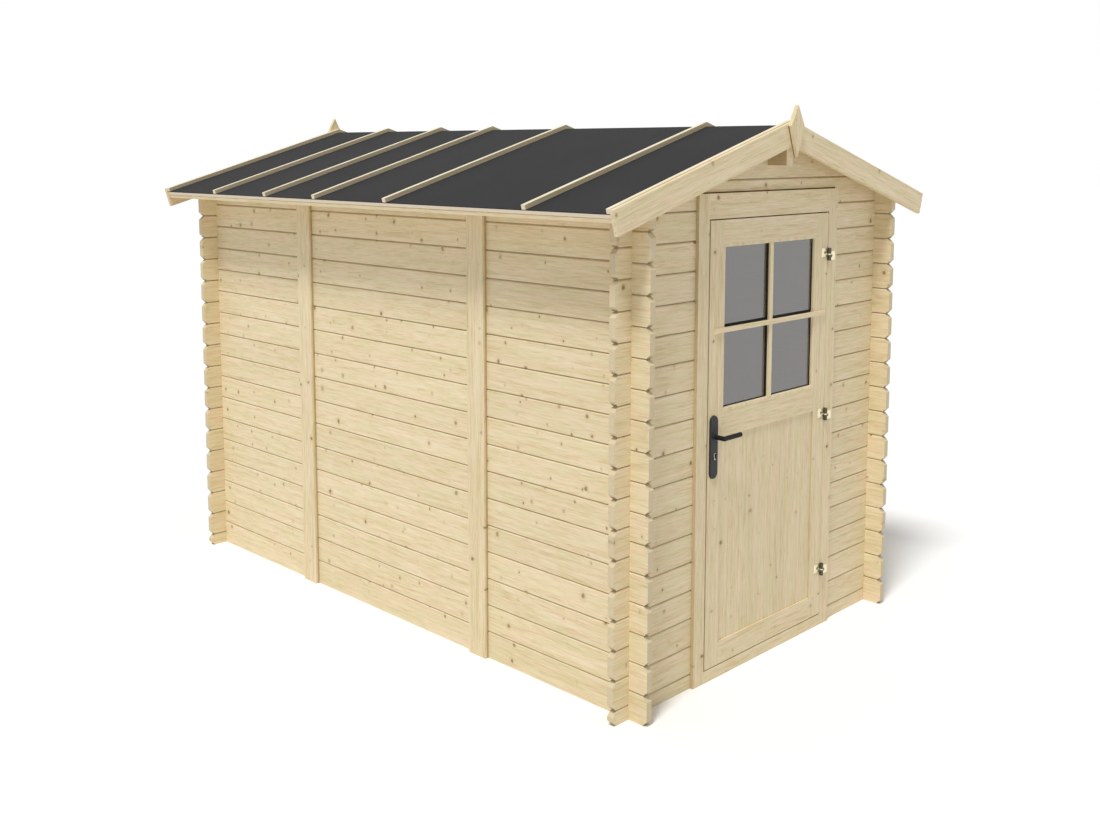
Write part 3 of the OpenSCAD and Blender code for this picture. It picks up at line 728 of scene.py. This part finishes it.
class SHED_OT_glazing(bpy.types.Operator):
    """Makes the glazing beads, bars and seals, the seals also standing for painted shade and reflection, and
    finishes the glass
    """
    bl_idname = "shed.glazing"
    bl_label = "Glazing"

    def execute(self, context):
        door = context.scene.shed_door
        paint(["door_glass"], pane())
        fine = {"knots": (0.6, 0.2), "knot_r": (1.5, 1.0), "tint": (1.03, 1.03, 1.03)}
        upright = pine("upright_bars", "ZX", (0.3, WHOLE, WHOLE), (0.15, 0, 0), **fine)
        across = pine("cross_bars", "XZ", (WHOLE,) * 3, **fine)
        sides = (door.bar_x - door.bar_w / 2, door.bar_x + door.bar_w / 2)
        levels = (door.lath_z - door.lath_h / 2, door.lath_z + door.lath_h / 2)
        self.beads(door, upright)
        self.upright_bars(door, sides, upright)
        self.cross_bars(door, levels, across)
        self.seals_and_shade(door, sides, levels, rubber("seal_and_shade_rubber", door.seal_and_shade))
        return {"FINISHED"}

    def beads(self, door, wood):
        """Beads: a strip round the window with its inner corner cut."""
        low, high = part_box("glazing_beads")
        wide, cut = door.bead_w, 3 * MM
        section = np.array([(0, low.y), (wide - cut, low.y), (wide, low.y + cut),
                            (wide, high.y), (0, high.y)])
        put("glazing_beads_mitred", self.surround((low.x, low.z), (high.x, high.z), section), "door", wood,
            replaces=["glazing_beads"])

    def upright_bars(self, door, sides, wood):
        """Upright bars: one outside the glass between the beads, and one inside over the window's height."""
        low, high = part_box("glazing_beads")
        glass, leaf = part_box("door_glass")[1].y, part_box("door_stiles")[1].y
        bead = door.bead_w - 1 * MM
        outer = soft_rectangle((sides[0], low.y - 2 * MM), (sides[1], low.y + 9 * MM), 1.5 * MM)
        inner = soft_rectangle((sides[0], glass + 0.3 * MM), (sides[1], leaf - 3 * MM), 1.5 * MM)
        put("upright_glazing_bars", merge(bar(outer, "Z", low.z + bead, high.z - bead),
                                          bar(inner, "Z", low.z - 0.5 * MM, high.z + 0.5 * MM)),
            "door", wood)

    def cross_bars(self, door, levels, wood):
        """Cross bars: a lath over the stiles outside, and a bar inside over the window's width."""
        low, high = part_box("glazing_beads")
        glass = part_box("door_glass")[1].y
        leaf_low, leaf_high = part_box("door_stiles")
        outer = soft_rectangle((leaf_low.y - 9 * MM, levels[0]), (leaf_low.y - 0.2 * MM, levels[1]), 1.2 * MM)
        inner = soft_rectangle((glass + 0.3 * MM, levels[0]), (leaf_high.y - 3.4 * MM, levels[1]), 1.5 * MM)
        put("cross_glazing_bars", merge(bar(outer, "X", door.lath_left, door.lath_right),
                                        bar(inner, "X", low.x - 0.5 * MM, high.x + 0.5 * MM)),
            "door", wood)

    def seals_and_shade(self, door, sides, levels, material):
        """Seals: dark strips on the glass down both sides and along the foot of each pane, wider at the foot
        of the upper panes. They are real seals, and also painted shade and painted reflection: near black and
        widened under the lath, they stand for the dark lines that bars and beads leave along the panes."""
        low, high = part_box("glazing_beads")
        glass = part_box("door_glass")[0].y
        wide, front, back = 4.5 * MM, glass - 1.6 * MM, glass - 0.1 * MM
        section = np.array([(0, front), (wide, front), (wide, back), (0, back)])
        columns = ((low.x + door.bead_w, sides[0]), (sides[1], high.x - door.bead_w))
        rows = ((low.z + door.bead_w, levels[0], 1.0), (levels[1], high.z - door.bead_w, 1.9))
        strips = [self.surround((left, start), (right, end), section, foot, 0.0)
                  for left, right in columns for start, end, foot in rows]
        put("glazing_seals_and_shade", merge(*strips), "door", material)

    def surround(self, low, high, section, foot=1.0, top=1.0):
        """Strip round a window or pane: a section of points at an inward distance and a depth, carried round
        the rectangle with mitred corners. The inward distance is multiplied at the foot and at the top, and
        with a top of 0 the strip is open there: it runs down one side, along the foot and up the other."""
        corners = np.array([(low[0], high[1], 1, -top), (low[0], low[1], 1, foot),
                            (high[0], low[1], -1, foot), (high[0], high[1], -1, -top)])
        sections = np.zeros((4, len(section), 3))
        sections[:, :, 0] = corners[:, 0, None] + corners[:, 2, None] * section[:, 0]
        sections[:, :, 1] = section[:, 1]
        sections[:, :, 2] = corners[:, 1, None] + corners[:, 3, None] * section[:, 0]
        return loft(sections, closed=top > 0)


class SHED_OT_fittings(bpy.types.Operator):
    """Makes the handles, hinge screws and lock plates, and finishes the hinges"""
    bl_idname = "shed.fittings"
    bl_label = "Handles, hinges and lock"

    def execute(self, context):
        door = context.scene.shed_door
        low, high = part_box("door_hinge_leaves")
        joints = np.linspace(low.z + HINGE_LAP, high.z - HINGE_H / 2, 3)
        # Painted reflection: the hinge barrels are darkened within the zinc's colour
        barrel_r = 8.8 * MM
        barrel = (HINGE_PIN, barrel_r, joints[0], joints[1] - joints[0])
        zinc = metal("zinc_plate", door.zinc, 0.26, barrel=barrel)
        coat = {"metallic": 0.0, "scale": 700}
        black = metal("black_coat", door.black, 0.42, shine=0.35, **coat)
        grip = metal("black_grip", scaled(door.black, 0.45), 0.5, shine=0.2, **coat)
        steel = metal("lock_steel", (0.62, 0.6, 0.57), 0.3)
        # Painted shade: a near-black piece for the keyhole's hole
        keyhole_shade = metal("painted_keyhole_shade", (0.008, 0.008, 0.008), 0.6, metallic=0.0, shine=0.1)
        paint(["door_hinge_leaves", "frame_hinge_leaves"], zinc)
        for node, out in HANDLE_PLATES.items():
            self.plate(node, out, black)
            self.plate_fittings(node, out, black, steel, keyhole_shade)
        self.lever(grip)
        self.lock(steel)
        # Painted shade: the hinge screws are near black, as screw heads in shade
        self.hinge_screws(joints, metal("screw_steel_painted_shade", (0.12, 0.1, 0.06), 0.4))
        return {"FINISHED"}

    def plate(self, node, out, black):
        """Handle plate: a stadium outline, a circle whose halves are drawn apart, set in step by step while
        it rises by a quarter ellipse, so that the rim is rounded."""
        low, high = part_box(node)
        middle, thick = (low + high) / 2, high.y - low.y
        foot = high.y if out < 0 else low.y
        half_w, half_h = (high.x - low.x) / 2, (high.z - low.z) / 2
        rim_w, rim_h = 4 * MM, 3.5 * MM
        angle = np.arange(64) * TURN / 64 + TURN / 128
        turn = np.linspace(0, TURN / 4, 7)
        inset = np.concatenate([[0], rim_w * (1 - np.cos(turn))])
        rise = np.concatenate([[0], thick - rim_h + rim_h * np.sin(turn)])
        ring = half_w - inset[:, None]
        apart = (half_h - half_w) * np.sign(np.sin(angle))
        sections = np.zeros((len(inset), len(angle), 3))
        sections[:, :, 0] = middle.x + ring * np.cos(angle)
        sections[:, :, 1] = foot + out * rise[:, None]
        sections[:, :, 2] = middle.z + apart + ring * np.sin(angle)
        put(node + "_rounded", loft(sections), "door", black, replaces=[node])

    def plate_fittings(self, node, out, black, steel, keyhole_shade):
        """Collar round the spindle, lock cylinder with its keyhole a little to one side, and two screws. The
        keyhole is a near-black piece of painted shade standing for the hole, set off to one side of the
        cylinder.
        """
        low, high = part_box(node)
        x, face = (low.x + high.x) / 2, low.y if out < 0 else high.y
        spindle, drop, inset = self.spindle(), 71 * MM, 16 * MM
        put(node + "_collar", heads([(x, face, spindle)], (0, out, 0), COLLAR, 40), "door", black,
            smooth=True)
        level = spindle - drop
        put(node + "_lock_case", self.keyhole((x, face, level), out, 1.0, 3.4 * MM), "door", steel)
        put(node + "_keyhole", self.keyhole((x - out * 1.6 * MM, face, level), out, 0.78, 3.6 * MM), "door",
            keyhole_shade)
        screws = [(x, face, low.z + inset), (x, face, high.z - inset)]
        put(node + "_screws", heads(screws, (0, out, 0), SCREW, 14), "door", black)

    def spindle(self):
        """Height of the spindle, which is the middle of the lever."""
        low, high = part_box("door_lever")
        return (low.z + high.z) / 2

    def keyhole(self, place, out, size, proud):
        """Lock cylinder: a circle over a slot with a round foot, drawn smaller or larger about the circle's
        middle and carried out from the plate."""
        circle_r, slot_r, drop = 6.5 * MM, 4 * MM, 17 * MM
        start = math.asin(-0.47)
        angle = np.linspace(start, math.pi - start, 26)
        circle = circle_r * np.stack([np.cos(angle), np.sin(angle)], 1)
        turn = np.linspace(math.pi, TURN, 12)
        foot = slot_r * np.stack([np.cos(turn), np.sin(turn)], 1) - (0, drop)
        outline = np.concatenate([circle, foot]) * size + (place[0], place[2])
        return bar(outline, "Y", place[1] - out * 0.5 * MM, place[1] + out * proud)

    def lever(self, grip):
        """Lever: an oval bar carried out from the plate, mitred at its corner and carried along to the tip,
        where it closes with a small rounded rim. At the mitre the section stands at 45 degrees and is wider
        by the root of 2."""
        low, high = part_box("door_lever")
        x, z = low.x + HUB_R, self.spindle()
        tip, rim, straight = high.x - x, 3 * MM, 20 * MM
        close = np.linspace(0, TURN / 4, 6)
        angle = np.arange(32) * TURN / 32
        along = np.concatenate([[0, 0, 0, straight], tip - rim + rim * np.sin(close)])
        heading = np.concatenate([[0, 0, TURN / 8], np.full(7, TURN / 4)])
        half_w = np.concatenate([[8.2, 8.2, 8.2 * math.sqrt(2), 8.2], 5.2 + 3 * np.cos(close)]) * MM
        half_h = np.concatenate([[9.4, 9.4, 9.6, 9.6], 6.6 + 3 * np.cos(close)]) * MM
        across = half_w[:, None] * np.cos(angle)
        shapes = []
        for node, out in HANDLE_PLATES.items():
            plate_low, plate_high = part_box(node)
            face, far = (plate_low.y, low.y) if out < 0 else (plate_high.y, high.y)
            depth = abs(far - face) - HUB_R
            away = np.concatenate([[-4 * MM, depth - straight, depth], np.full(7, depth)])
            sections = np.zeros((len(along), len(angle), 3))
            sections[:, :, 0] = x + along[:, None] + np.cos(heading)[:, None] * across
            sections[:, :, 1] = face + out * (away[:, None] - np.sin(heading)[:, None] * across)
            sections[:, :, 2] = z + half_h[:, None] * np.sin(angle)
            shapes.append(outward(*loft(sections)))
        put("lever_handles", merge(*shapes), "lever", grip, replaces=["door_lever"])

    def lock(self, steel):
        """Lock plates: thin strips with cut corners let into the edge of the leaf and the jamb, with a latch
        in the first."""
        low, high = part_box("door_stiles")
        y, z = (low.y + high.y) / 2, self.spindle() - 36 * MM
        strip = soft_rectangle((y - 10 * MM, z - 110 * MM), (y + 10 * MM, z + 110 * MM), 4 * MM)
        latch = soft_rectangle((y - 6 * MM, z + 26 * MM), (y + 6 * MM, z + 46 * MM), 2 * MM)
        leaf, jamb = low.x, low.x - SIDE_GAP
        put("lock_plate", merge(bar(strip, "X", leaf - 0.3 * MM, leaf + 1 * MM),
                                bar(latch, "X", leaf - 1.2 * MM, leaf + 0.5 * MM)),
            "door", steel)
        put("strike_plate", bar(strip, "X", jamb - 1 * MM, jamb + 0.3 * MM), "shed", steel)

    def hinge_screws(self, joints, steel):
        """Screws on the hinge leaves: one in the middle of each plate, which lies over the joint on the
        door's side and under it on the frame's."""
        proud, aside, up = 2.7 * MM, 27 * MM, 8.5 * MM
        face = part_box("door_stiles")[0].y - proud
        wide = np.array(SCREW) * (1.6, 1.0)
        for node, body, sign in (("door_hinge_leaves", "door", -1), ("frame_hinge_leaves", "shed", 1)):
            places = [(HINGE_PIN[0] + sign * aside, face, z - sign * up) for z in joints]
            put(node + "_screws", heads(places, (0, -1, 0), wide, 18), body, steel)


class SHED_OT_nails(bpy.types.Operator):
    """Drives the nails in the battens, bargeboards, laths, finials and jambs"""
    bl_idname = "shed.nails"
    bl_label = "Nails"

    def execute(self, context):
        bright = metal("bright_nails", (0.62, 0.58, 0.5), 0.35)
        for side, sign in SIDES.items():
            shapes = [self.battens(context.scene.shed_wood.course, side, sign), self.laths(side, sign)]
            shapes += [self.bargeboard(end, out, side, sign) for end, out in ENDS.items()]
            put(f"nails_{side}", merge(*shapes), "shed", bright)
        shapes = [self.finial(end, out) for end, out in ENDS.items()]
        shapes += [self.jamb(sign) for sign in SIDES.values()]
        put("nails_ends", merge(*shapes), "shed", bright)
        return {"FINISHED"}

    def battens(self, course, side, sign):
        """Two nails through the outer battens into every other log."""
        low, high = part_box(f"{side}_outer_battens")
        face, aside = low.x if sign < 0 else high.x, 30 * MM
        middles = (low.y + BATTEN_W / 2, high.y - BATTEN_W / 2)
        levels = (np.arange(0, COURSES, 2) + 0.5) * course
        places = [(face, y + step * aside, z) for y in middles for z in levels for step in (-1, 1)]
        return heads(places, (sign, 0, 0), NAIL)

    def laths(self, side, sign):
        """Four nails down each lath, whose middles along the shed are read from the corners of the solids."""
        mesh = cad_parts[f"roof_laths_{side}"].data
        points = np.zeros(len(mesh.vertices) * 3)
        mesh.vertices.foreach_get("co", points)
        edges = np.unique(np.round(points.reshape(-1, 3)[:, 1], 4))
        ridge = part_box(f"roof_laths_{side}")[1].z
        places = [(sign * x, y, ridge - x * math.tan(ROOF_PITCH))
                  for y in (edges[::2] + edges[1::2]) / 2 for x in np.linspace(0.10, 0.98, 4)]
        return heads(places, (sign * math.sin(ROOF_PITCH), 0, math.cos(ROOF_PITCH)), NAIL)

    def bargeboard(self, end, out, side, sign):
        """Three pairs of nails along a bargeboard, on both sides of its middle line."""
        low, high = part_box(f"{end}_bargeboard_{side}")
        face = low.y if out < 0 else high.y
        half_w, aside = 47 * MM, 24 * MM
        peak = high.z - half_w / math.cos(ROOF_PITCH)
        places = [(sign * x, face, peak - x * math.tan(ROOF_PITCH) + step * aside)
                  for x in (0.16, 0.55, 0.98) for step in (-1, 1)]
        return heads(places, (0, out, 0), NAIL)

    def finial(self, end, out):
        """Two nails in a finial."""
        low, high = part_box(f"{end}_finial")
        face = low.y if out < 0 else high.y
        return heads([(0, face, low.z + 70 * MM), (0, face, low.z + 125 * MM)], (0, out, 0), NAIL)

    def jamb(self, sign):
        """Six nails up the outer edge of a jamb."""
        face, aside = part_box("door_jamb_left")[0].y, 0.468
        return heads([(sign * aside, face, z) for z in np.linspace(0.15, 1.85, 6)], (0, -1, 0), NAIL)


class SHED_OT_stage(bpy.types.Operator):
    """Sets up the floor, the light and the camera"""
    bl_idname = "shed.stage"
    bl_label = "Stage"

    def execute(self, context):
        stage = context.scene.shed_stage
        scene = context.scene
        scene.view_settings.view_transform = "Standard"
        self.floor(stage)
        self.light(stage)
        camera = bpy.data.cameras.new("camera")
        camera.sensor_width = 36.0
        camera.lens = stage.lens
        camera.shift_y = EYE_SHIFT
        eye = bpy.data.objects.new("camera", camera)
        eye.location = EYE
        eye.rotation_euler = (math.radians(90 - EYE_DOWN), 0, math.radians(EYE_TURN))
        scene.collection.objects.link(eye)
        scene.camera = eye
        return {"FINISHED"}

    def floor(self, stage):
        """Floor: a wide square under the shed, seen white with the shadow on it."""
        size = 60.0
        corners = [(-size, -size, 0), (size, -size, 0), (size, size, 0), (-size, size, 0)]
        mesh = bpy.data.meshes.new("floor")
        mesh.from_pydata(corners, [], [(0, 1, 2, 3)])
        f = Finish("pale_floor")
        white = f.mix(f.seen(), stage.floor, (1.0, 1.0, 1.0))
        mesh.materials.append(f.principled(Base_Color=white, Roughness=1.0, Specular_IOR_Level=0.0))
        floor = bpy.data.objects.new("floor", mesh)
        bpy.context.scene.collection.objects.link(floor)

    def light(self, stage):
        """Light: an even sky, white behind the shed, and one soft lamp high on the left."""
        f = Finish("sky", "worlds")
        pure = (1.0, 1.0, 1.0, 1.0)
        even = f.node("ShaderNodeBackground", sockets={"Color": pure, "Strength": stage.sky})
        white = f.node("ShaderNodeBackground", sockets={"Color": pure})
        sky = f.node("ShaderNodeMixShader", sockets={0: f.seen(), 1: even, 2: white})
        f.node("ShaderNodeOutputWorld", sockets={"Surface": sky})
        bpy.context.scene.world = f.owner

        lamp = bpy.data.lights.new("lamp", "SUN")
        lamp.energy = stage.lamp
        lamp.angle = math.radians(12)
        sun = bpy.data.objects.new("lamp", lamp)
        towards = np.array([-1.0, -0.35, 2.0])
        tilt = math.acos(towards[2] / np.linalg.norm(towards))
        sun.rotation_euler = (tilt, 0, math.atan2(towards[1], towards[0]) + math.pi / 2)
        bpy.context.scene.collection.objects.link(sun)


class SHED_PT_panel(bpy.types.Panel):
    """Lists the steps that dress the shed, with their settings"""
    bl_idname = "SHED_PT_panel"
    bl_label = "Log garden shed"
    bl_space_type = "VIEW_3D"
    bl_region_type = "UI"
    bl_category = "Shed"

    def draw(self, context):
        for step in STEPS:
            self.layout.operator(step.bl_idname)
        for name in SETTINGS:
            group = getattr(context.scene, name)
            for key in group.__annotations__:
                self.layout.prop(group, key)


SETTINGS = {"shed_wood": ShedWood, "shed_roof": ShedRoof, "shed_door": ShedDoor, "shed_stage": ShedStage}
STEPS = [SHED_OT_logs, SHED_OT_trim, SHED_OT_joinery, SHED_OT_roof, SHED_OT_panel, SHED_OT_glazing,
         SHED_OT_fittings, SHED_OT_nails, SHED_OT_stage]


def register():
    """Adds the settings, steps and panel to Blender."""
    for kind in [*SETTINGS.values(), *STEPS, SHED_PT_panel]:
        bpy.utils.register_class(kind)
    for name, kind in SETTINGS.items():
        setattr(bpy.types.Scene, name, PointerProperty(type=kind))


def unregister():
    """Takes the settings, steps and panel out of Blender."""
    for name in SETTINGS:
        delattr(bpy.types.Scene, name)
    for kind in [SHED_PT_panel, *STEPS[::-1], *list(SETTINGS.values())[::-1]]:
        bpy.utils.unregister_class(kind)


def main():
    """Runs every step in order."""
    register()
    for step in STEPS:
        group, name = step.bl_idname.split(".")
        getattr(getattr(bpy.ops, group), name)()


if __name__ == "__main__":
    main()
